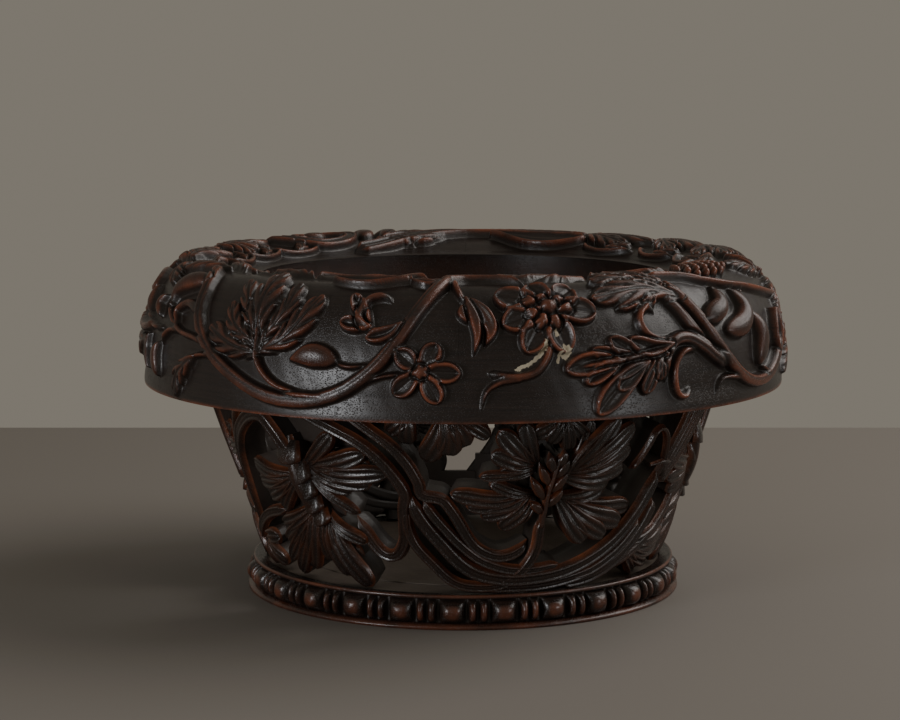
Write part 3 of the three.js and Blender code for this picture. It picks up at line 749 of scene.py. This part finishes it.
def rim_loops(first_column, rows, closing):
    """Sections of one rim segment: the ground's (radius, height) plus relief along its outward
    normal, then the flat faces in closing, a list of (radius, height) corners."""
    columns = (first_column + np.arange(segment_columns + 1)) % column_count
    turns = column_turn[0] + (first_column + np.arange(segment_columns + 1)) * (
        segment_turn / segment_columns)
    turns[[0, -1]] += np.degrees(glue_gap / 2 / 250) * np.array([1, -1])
    lift = height_map[np.ix_(columns, rows)]
    radii = row_radius[rows] + lift * row_out[rows, 0]
    heights = row_height[rows] + lift * row_out[rows, 1]
    corners = np.array(closing)
    flat_radii = np.broadcast_to(corners[:, 0], (len(columns), len(corners)))
    flat_heights = np.broadcast_to(corners[:, 1], (len(columns), len(corners)))
    radii = np.concatenate([radii, flat_radii], 1)
    heights = np.concatenate([heights, flat_heights], 1)
    rub = np.zeros_like(radii)
    dust = np.zeros_like(radii)
    rub[:, :len(rows)] = rub_map[np.ix_(columns, rows)]
    dust[:, :len(rows)] = 0.25 * hollow_map[np.ix_(columns, rows)]
    rub[:, len(rows):] = 0.5
    dust[:, len(rows):] = 0.6
    corner_rows = [0, len(rows) - 1] + list(range(len(rows), radii.shape[1]))
    putty = np.zeros_like(radii)
    putty[:, :len(rows)] = putty_map[np.ix_(columns, rows)]
    return on_circle(turns[:, None], radii, heights), rub, dust, corner_rows, putty


seam = 0.03
lower_closing = [(rim_lip_radius, rim_layer - seam), (rim_lip_radius, rim_under)]
upper_closing = [(rim_lip_radius, rim_layer + seam)]
for i in range(8):
    lower = rim_loops(i * segment_columns, np.arange(lower_rows + 1), lower_closing)
    carve(f"rim_lower_{i + 1}_carved", [lower], waxed_rim_wood,
          [f"rim_lower_{i + 1}"])
    upper = rim_loops(i * segment_columns + segment_columns // 2,
                      np.arange(lower_rows, len(ways)), upper_closing)
    carve(f"rim_upper_{i + 1}_carved", [upper], waxed_rim_wood,
          [f"rim_upper_{i + 1}"])

# ---------------------------------------------------------------------------------------------
# Pierced body: eight glued staves, flared, and carved right through into vine stems, big fluted
# leaves and bud spikes, undercut so that they stand clear of each other. Fronts were waxed, and
# the plain inner wall and the cut sides are dull and dusty.

body_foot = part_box("stave_1")[0].z * 1000
body_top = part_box("stave_1")[1].z * 1000
foot_radius = 170.0
top_radius = 217.5
flare = (top_radius - foot_radius) / (body_top - body_foot)
body_degree = 3.3  # mm of body per degree of turn
stave_joint = 5.0
stave_turn = 45
# glossier than the rim, less red in its stain, and brighter where it is rubbed
waxed_body_wood = stained_hardwood("waxed_body_hardwood", "15110f", "26201d", "84492c", 0.2,
                                   False)
stave_parts = [[] for _ in range(8)]


def carve_through(form, half_width, height, points, count=24, back=24.0):
    """One carved form of the body, as a closed solid swept along (turn, height, depth) points,
    depth being mm behind the outside of the body. Its front is the form's crown, its sides
    lean in a little, and its back is cut off flat, back mm behind the outside. A stem that
    crosses a joint between staves is parted there; a leaf stays whole on one of them."""
    even = np.array([body_degree, 1, 1])
    line = spline(np.array(points, float) * even, count) / even
    turn, rise, depth = line.T
    t = np.linspace(0, 1, count)[:, None]
    radius = foot_radius + flare * rise - depth
    centre = on_circle(turn, radius, body_foot + rise)
    tangent = np.gradient(centre, axis=0)
    tangent /= np.linalg.norm(tangent, axis=1)[:, None]
    out = on_circle(turn, np.ones_like(turn), np.full_like(turn, -flare))
    out -= (out * tangent).sum(1)[:, None] * tangent
    out /= np.linalg.norm(out, axis=1)[:, None]
    side = np.cross(tangent, out)
    top_w = np.sin(np.pi / 2 * np.linspace(-1, 1, 19))[None, :]
    half = np.maximum(half_width * outline(form, t)
                      * (1 - tooth_depth * veins(form, t, 1.0)), 0.25)
    edge = half * (1 - np.abs(top_w))
    lift = height * crown(form, t, top_w, edge) * smoothstep(-0.3, 1.6, edge)
    lift *= np.minimum(1, outline(form, t) * 1.5)
    under_w = np.array([[0.95, 0.86, 0.72, 0.25, -0.25, -0.72, -0.86, -0.95]])
    drop = np.array([[0.04, 0.5, 1.0, 1.0, 1.0, 1.0, 0.5, 0.04]])
    slope = 0.35 + 0.65 * smoothstep(0, 0.25, outline(form, t))
    depth_left = np.maximum(back - depth, 4.0)[:, None]
    across_w = np.concatenate([np.broadcast_to(top_w, (count, 19)),
                               np.broadcast_to(under_w, (count, 8))], 1) * half
    up = np.concatenate([lift, -drop * depth_left * slope], 1)
    loops = centre[:, None] + across_w[..., None] * side[:, None] + up[..., None] * out[:, None]
    ridge = np.exp(-(edge / 1.1) ** 2) * 0.9 + 0.2 * np.clip(lift / height, 0, 1) ** 4
    rub = np.concatenate([ridge, np.zeros((count, 8))], 1)
    rub[:, [19, 26]] = 0.1
    # the deeper a form lies, the less wax and the more dust it holds
    unwaxed = 0.6 * smoothstep(8, 14, depth)[:, None]
    dust = np.concatenate([0.25 * (1 - np.clip(lift / height, 0, 1)) ** 2 + unwaxed,
                           np.full((count, 8), 0.7)], 1)
    stave = np.floor((turn - stave_joint) / stave_turn).astype(int)
    cuts = np.flatnonzero(np.diff(stave)) if form in ("stem", "ribbed") else []
    starts = [0, *[cut + 1 for cut in cuts]]
    ends = [*[cut + 1 for cut in cuts], count - 1]
    for start, end in zip(starts, ends):
        if end - start < 1:
            continue
        run = slice(start, end + 1)
        owner = stave[(start + end) // 2] % 8
        stave_parts[owner].append((loops[run], rub[run], dust[run], []))


def leaf(form, half_width, height, root, tips, bend=0.0):
    """Lobes of one leaf: root and tips are (turn, height, depth); each bends to one side."""
    for tip in tips:
        run = np.subtract(tip[:3], root)
        middle = np.add(root, 0.5 * run) + bend * np.array([-run[1] / body_degree,
                                                              run[0] * body_degree, 0])
        middle[2] -= 3.5
        wide = half_width * (tip[3] if len(tip) > 3 else 1)
        carve_through(form, wide, height, [root, tuple(middle), tip[:3]])


def bud_spike(turn, height):
    """Rows for a spike of five cupped bracts, each lapping over the one below, on a core."""
    bracts = [(0, 40, 0, 20), (1.5, 25, 3, 4), (2.8, 12, 4.3, -9), (4, -1, 5.6, -20),
              (5.4, -12, 7.4, -30)]
    return [
        ("bean", 8.0, 9.0, [(turn - 0.5, height + 44, 8), (turn + 2.5, height + 4, 2),
         (turn + 7.5, height - 36, 6)]),
        *[("scale", 13.0 - 1.2 * k, 8.5, [(turn + start, height + high, 8),
           (turn + (start + end) / 2, height + (high + low) / 2, 3),
           (turn + end, height + low, 1)])
          for k, (start, high, end, low) in enumerate(bracts)],
    ]


def web(first, last, low, high, depth=17.0):
    """Part of the wall left standing behind the carving: a plain plate from turn to turn and
    height to height, 9 mm thick, with its front edges cut back 3 mm."""
    turns = np.linspace(first, last, 30)
    wall = np.array([(low + 3, depth), (high - 3, depth), (high, depth + 3), (high, depth + 9),
                     (low, depth + 9), (low, depth + 3)])
    radius = foot_radius + flare * wall[:, 0] - wall[:, 1]
    loops = on_circle(turns[:, None], radius, body_foot + wall[:, 0])
    middle = (first + last) / 2
    owner = int(np.floor((middle - stave_joint) / stave_turn)) % 8
    stave_parts[owner].append((loops, 0.05, 0.75, [0, 1, 2, 3, 4, 5]))


def big_leaf(s):
    """Rows for the fan of fluted lobes round a bud spike, turned by s degrees."""
    return [
        ("bud", 26, 3, [(s - 47, 108, 15), (s - 42, 75, 13), (s - 38, 38, 15)]),
        ("frond", 15, 5, [(s - 42, 88, 12), (s - 51, 82, 9), (s - 60, 84, 8)], 44),
        ("frond", 16, 5, [(s - 41, 70, 12), (s - 48, 42, 9), (s - 52, 12, 8)], 44),
        ("frond", 14, 5, [(s - 38, 66, 12), (s - 34, 38, 9), (s - 30, 10, 8)], 44),
        ("frond", 15, 5, [(s - 41, 98, 12), (s - 32, 104, 9), (s - 22, 104, 8)], 44),
        ("lobe", 8, 5.5, (s - 44.5, 92, 9), [(s - 62.5, 97, 5), (s - 61.5, 81, 5),
         (s - 58.5, 68, 5), (s - 53.5, 59, 6, 0.9)], 0.05),
        ("lobe", 8.5, 5.5, (s - 41.5, 66, 9), [(s - 55.5, 45, 5), (s - 56, 30, 5),
         (s - 57, 13, 5, 0.9), (s - 52.5, 3, 4), (s - 46, 10, 4, 1.1)], 0.06),
        ("lobe", 8, 5.5, (s - 37.5, 64, 9), [(s - 25.8, 41, 5, 0.85), (s - 26, 2, 3, 1.25),
         (s - 32.5, 9, 4, 1.1), (s - 38.3, 20, 4, 0.9)], -0.05),
        ("lobe", 8, 5.5, (s - 41, 102, 9), [(s - 31, 133, 7), (s - 23, 118, 6, 1.1),
         (s - 17.8, 102, 5, 1.1), (s - 22.6, 91, 6), (s - 28, 84, 6, 0.9), (s - 27, 65, 7, 0.7)],
         -0.04),
        *bud_spike(s - 44.5, 82),
    ]


# wall left standing behind the leaves
for plate in [(-52, -22, 118, 154), (72, 102, 118, 154), (26, 40, 92, 154, 19)]:
    web(*plate)
# one half of the body, from the hook at the left to the next: degrees round from the front, mm
# above the foot, and mm behind the outside
body_design = [
    # tall bent stem at the left
    ("ribbed", 6.8, 6, [(-81, 30, 8), (-78, 48, 7), (-76, 62, 6), (-73, 95, 5), (-67.5, 116, 4),
     (-62, 129, 3), (-56.5, 139, 3), (-51.5, 141, 3), (-48.5, 131, 3), (-46, 119, 3),
     (-44, 106, 4), (-41.5, 92, 6)], 60),
    ("stem", 4.4, 5, [(-79, 22, 9), (-80, 60, 8), (-78, 95, 7), (-71, 125, 7), (-64, 146, 7),
     (-60, 155, 7)], 44),
    ("ribbed", 5.5, 6, [(-95, 8, 6), (-88, 14, 5), (-81, 24, 5), (-74, 36, 6), (-64, 50, 7),
     (-54, 58, 8)], 40),
    ("lobe", 8, 5, (-72, 26, 8), [(-62, 30, 6), (-60, 8, 5, 1.1), (-68, 3, 5)]),
    *big_leaf(0),
    # vine that comes down from the rim and turns in under the leaf
    ("ribbed", 5.6, 6, [(-41, 156, 7), (-36, 146, 6), (-30, 138, 4), (-24, 128, 3),
     (-19.5, 115, 3), (-15.8, 98, 3), (-14, 85, 3), (-14.6, 73, 3), (-14.8, 58, 3), (-15.2, 45, 4),
     (-17.5, 33, 5), (-21, 31.5, 7), (-24.5, 40, 9), (-29, 62, 11)], 66),
    # the main vine, four ridges wide, sweeping low round the front and up to a hook
    ("ribbed", 6.6, 7, [(-12.5, 84, 3), (-11.4, 71, 2), (-9, 58, 2), (-5.5, 44, 1), (-2, 31, 0),
     (2, 21, 0), (7, 15.5, 0), (13, 13, 0), (21, 14, 0), (28, 18, 0), (35.5, 27, 0), (42, 40, 0),
     (47, 57, 0), (51, 76, 1), (53.5, 96, 1)], 90),
    ("ribbed", 5.4, 6, [(5, 7, 1), (12, 6.5, 0), (20, 6.5, 0), (28, 9, 1), (36, 15, 1),
     (43, 26, 1), (48, 38, 2), (52, 52, 3)], 56),
    ("stem", 2.8, 5, [(52.6, 86, 2), (53.8, 100, 0), (53.2, 112, -1), (52, 124, -1),
     (49.6, 131.5, -1), (47.4, 129, -1), (46.4, 119, 0), (45, 107, 2), (43.5, 98, 5)], 54, 18),
    *[("scale", 1.5, 3.2, [(turn - 0.5, 19.5, 1), (turn, 14.5, -2.5), (turn + 0.3, 9.5, 1)], 10)
      for turn in [17.5 + 1.2 * k for k in range(7)]],
    ("scale", 2.4, 4, [(49.5, 99, 0), (53.5, 101, -3), (57.5, 99, 0)], 12),
    # lower outer stem, which rises again as the sprig's stalk
    ("ribbed", 4.8, 6, [(-13.6, 74, 4), (-14, 60, 3), (-12.3, 43, 2), (-8, 27, 1), (-4, 14.5, 0),
     (0, 8.5, 0), (5.5, 7, 0), (10, 9, 0), (13.8, 16, 0), (17, 27, 1), (18.6, 40, 1),
     (18.8, 54, 1), (19.2, 68, 1)], 66),
    ("ribbed", 6.5, 7, [(28, 6, 3), (36, 9, 2), (44, 18, 3), (50, 31, 4), (55, 48, 5),
     (58, 66, 6)], 44),
    # sprig with pairs of leaflets
    ("stem", 2.6, 5, [(18.8, 56, 0), (19.2, 68, -1), (19.6, 86, -1), (20.6, 104, -1),
     (21.6, 119, 0)], 30),
    *[("blade", 4.2, 4.6, [(turn, rise, 2), ((turn + tip_turn) / 2
                                             + 0.25 * np.sign(tip_turn - turn),
                                             (rise + tip_rise) / 2, -2), (tip_turn, tip_rise, 1)])
      for turn, rise, tip_turn, tip_rise in [
          (19, 70, 15.6, 80), (19.3, 80, 15.2, 101), (20, 92, 17, 112), (20.6, 103, 19, 121),
          (19.3, 74, 23.6, 91), (20, 86, 24.2, 106), (20.8, 98, 24, 117), (21.2, 108, 22.6, 123)]],
    # leaf to the left of the sprig
    ("bud", 17, 3, [(17, 130, 15), (12, 100, 13), (9, 70, 15)]),
    ("lobe", 7.5, 5, (17, 108, 9), [(13, 146, 6, 1.1), (7.5, 140, 4, 1.2), (6, 121, 4, 1.1),
     (3.4, 101, 6, 0.7), (8, 104, 5)], 0.04),
    ("lobe", 7.5, 5, (17, 84, 8), [(6, 96, 5, 0.8), (-3.4, 87, 4, 1.1), (0.4, 76, 4), (4, 67, 4),
     (8.6, 57, 3, 1.1), (13, 61, 5, 0.8)], 0.05),
    # leaf to the right of the sprig
    ("bud", 30, 3, [(31, 140, 16), (31, 108, 14), (30, 60, 16)]),
    ("lobe", 9, 5.5, (24, 98, 8), [(29, 147, 7, 0.8), (36.5, 147, 5), (41.3, 138, 4, 1.1),
     (41.6, 120, 4, 1.1), (40.6, 104, 4, 1.1), (36.5, 91, 5)], -0.04),
    ("lobe", 8.5, 5.5, (24, 79, 13), [(36, 86, 7), (46, 66, 3, 1.1), (42.5, 54, -2, 1.2),
     (37.5, 44, -4, 1.1), (31.5, 41, -3, 1.1)], -0.05),
    ("stem", 2.6, 5.5, [(22.6, 92, 3), (25.5, 116, 0), (30, 134, 0), (34.5, 147, 3)]),
    # leaf over the sprig, just under the rim
    ("lobe", 7.5, 5, (22, 150, 8), [(15.5, 134, 6), (19, 128, 4), (24, 121, 4), (28.5, 129, 6)]),
    # scalloped leaf that hangs from the rim over the opening
    ("lobe", 9, 5, (-4, 154, 8), [(-9, 114, 6, 1.1), (-3.5, 119, 4, 1.2), (0.6, 127, 4),
     (5.6, 134, 5, 0.8)], 0.05),
    ("lobe", 8, 5, (-12, 152, 10), [(-17, 137, 8), (-13, 128, 8)]),
    # ribbed stems that fan out under the rim at the right
    *[("stem", 4.2, 5, [(56 + 0.4 * k, 92 - 4 * k, 4), (59 + 2 * k, 116 - 3 * k, 3),
                        (61.5 + 3.4 * k, 136, 3), (63 + 4.3 * k, 156, 5)], 30)
      for k in range(4)],
    # stems that run up the sides to the rim at the body's widest place
    ("stem", 6.5, 5, [(80, 40, 4), (86, 84, 1), (89, 122, -1), (90, 156, -2)]),
    ("stem", 5, 5, [(97, 70, 3), (95, 108, 0), (96, 135, -1), (99, 156, -2)]),
    # lower right leaf, spread against the board
    ("lobe", 8, 5, (49, 27, 7), [(68, 44, 5, 1.1), (71, 33, 4), (69.5, 21, 4), (64.5, 9, 4),
     (57.5, 3, 5)], -0.05),
    ("stem", 5, 5, [(44, 13, 4), (52, 22, 3), (61, 38, 3), (68, 58, 4), (71, 82, 5),
     (70, 108, 6)], 40),
    *big_leaf(124),
]
lay_out(body_design, carve_through, leaf)
# the other half is the same, half a turn round
near_half = [list(parts) for parts in stave_parts]
turned_half = np.array([-1.0, -1.0, 1.0])
for i in range(8):
    stave_parts[(i + 4) % 8] += [(loops * turned_half, rub, dust, sharp)
                                 for loops, rub, dust, sharp in near_half[i]]
# across the front only: the second ribbon with its round loop, and a ridge inside the vine; the
# back keeps clear of them, round an opening with plain wall left under it
lay_out([
    ("ribbed", 5.2, 6, [(-27, 154, 6), (-21, 139, 4), (-16.5, 127, 3), (-13, 112, 3),
     (-10.7, 96, 3), (-10, 86, 3), (-5.5, 82.5, 3), (-3.5, 75, 3), (-1.5, 64, 3), (0.6, 51, 3),
     (3, 41, 3), (6.5, 34.5, 3), (10, 32.5, 4), (14, 36, 6), (16.8, 45, 8)], 70),
    ("ribbed", 4.6, 6, [(-9.6, 81, 4), (-8, 71, 3), (-4.6, 57, 2), (-1, 44, 1), (3.4, 32, 1),
     (8, 25, 1), (13, 21, 1), (19, 20.5, 1), (26, 23, 2)], 56),
    ("ribbed", 5.2, 6, [(153, 154, 6), (159, 139, 4), (163.5, 127, 3), (167, 112, 3),
     (169, 96, 3), (169.2, 82, 3)], 44),
    ("ribbed", 5.2, 6, [(188, 60, 6), (186.4, 48, 4), (187.5, 38, 3), (190.5, 33, 4),
     (194, 36, 6), (196.8, 45, 8)], 44),
    ("ribbed", 4.6, 6, [(186, 27, 1), (190, 24, 1), (195, 21, 1), (200, 20.5, 1),
     (206, 23, 2)], 40),
], carve_through, leaf)
for plate in [(175.4, 192, 4, 43.5, 19), (169, 175.6, 4, 59, 18), (187, 196, 40, 64, 19)]:
    web(*plate)
# plain deep fronds that close the back behind its vines
lay_out([("frond", 23, 4.0, [(turn + 3, 0, 18), (turn, 46, 16), (turn - 2, 104, 17)], 44)
         for turn in (202, 213, 153, 165)], carve_through, leaf)
for i in range(8):
    # the top of each stave is left whole where the rim is glued to it
    turns = np.linspace(stave_joint + stave_turn * i + 0.05,
                        stave_joint + stave_turn * (i + 1) - 0.05, 40)
    band = np.array([(206.5, body_top - 5), (207.5, body_top), (184, body_top),
                     (183.5, body_top - 5)])
    loops = on_circle(turns[:, None], band[:, 0], band[:, 1])
    stave_parts[i].append((loops, 0.1, 0.7, [0, 1, 2, 3]))
    carve(f"stave_{i + 1}_carved", stave_parts[i], waxed_body_wood,
          [f"stave_{i + 1}"])

# ---------------------------------------------------------------------------------------------
# Studio: a plain pale floor under an even pale surround, one big soft window light high at the
# right, two weak panels low down in front, and the camera.

# matt paint: no gloss, only soft shadows
stage_finish = bpy.data.materials.new("pale_matt_floor")
stage_finish.use_nodes = True
stage_tree = stage_finish.node_tree
stage_tree.nodes["Principled BSDF"].inputs["Roughness"].default_value = 0.8
stage_tree.nodes["Principled BSDF"].inputs["Base Color"].default_value = linear("7d7770")
floor_mesh = bpy.data.meshes.new("floor")
floor_half = 0.85
floor_mesh.from_pydata([(-floor_half, -floor_half, 0), (floor_half, -floor_half, 0),
                        (floor_half, floor_half, 0), (-floor_half, floor_half, 0)],
                       [], [(0, 1, 2, 3)])
floor = bpy.data.objects.new("floor", floor_mesh)
floor_mesh.materials.append(stage_finish)
bpy.context.scene.collection.objects.link(floor)


def soft_light(name, place, target, size, watts, colour):
    """Square area light at a place, aimed at a target."""
    light = bpy.data.lights.new(name, "AREA")
    light.size = size
    light.energy = watts
    light.color = colour
    holder = bpy.data.objects.new(name, light)
    holder.location = place
    aim = np.subtract(target, place)
    holder.rotation_euler = (np.arctan2(np.hypot(aim[0], aim[1]), -aim[2]), 0,
                             np.arctan2(aim[1], aim[0]) - np.pi / 2)
    bpy.context.scene.collection.objects.link(holder)


soft_light("window", (2.0, 0.3, 1.8), (0, 0, 0.15), 2.2, 50, (1.0, 0.97, 0.94))
soft_light("low_panel", (-1.7, -1.7, 0.35), (0, 0, 0.15), 0.8, 21, (0.95, 0.97, 1.0))
soft_light("side_panel", (1.9, -1.5, 0.3), (0, 0, 0.1), 0.8, 7, (0.97, 0.98, 1.0))
world = bpy.data.worlds.new("studio")
world.use_nodes = True
world.node_tree.nodes["Background"].inputs["Color"].default_value = (0.216, 0.197, 0.164, 1)
world.node_tree.nodes["Background"].inputs["Strength"].default_value = 0.95
bpy.context.scene.world = world

camera_pitch = 0.1309  # radians below level, 7.5 degrees
camera = bpy.data.cameras.new("camera")
camera.lens = 100
camera.sensor_width = 36
camera_object = bpy.data.objects.new("camera", camera)
camera_object.location = (-0.0112, -2.1485, 0.4776)
camera_object.rotation_euler = (np.pi / 2 - camera_pitch, 0, 0)
bpy.context.scene.collection.objects.link(camera_object)
bpy.context.scene.camera = camera_object
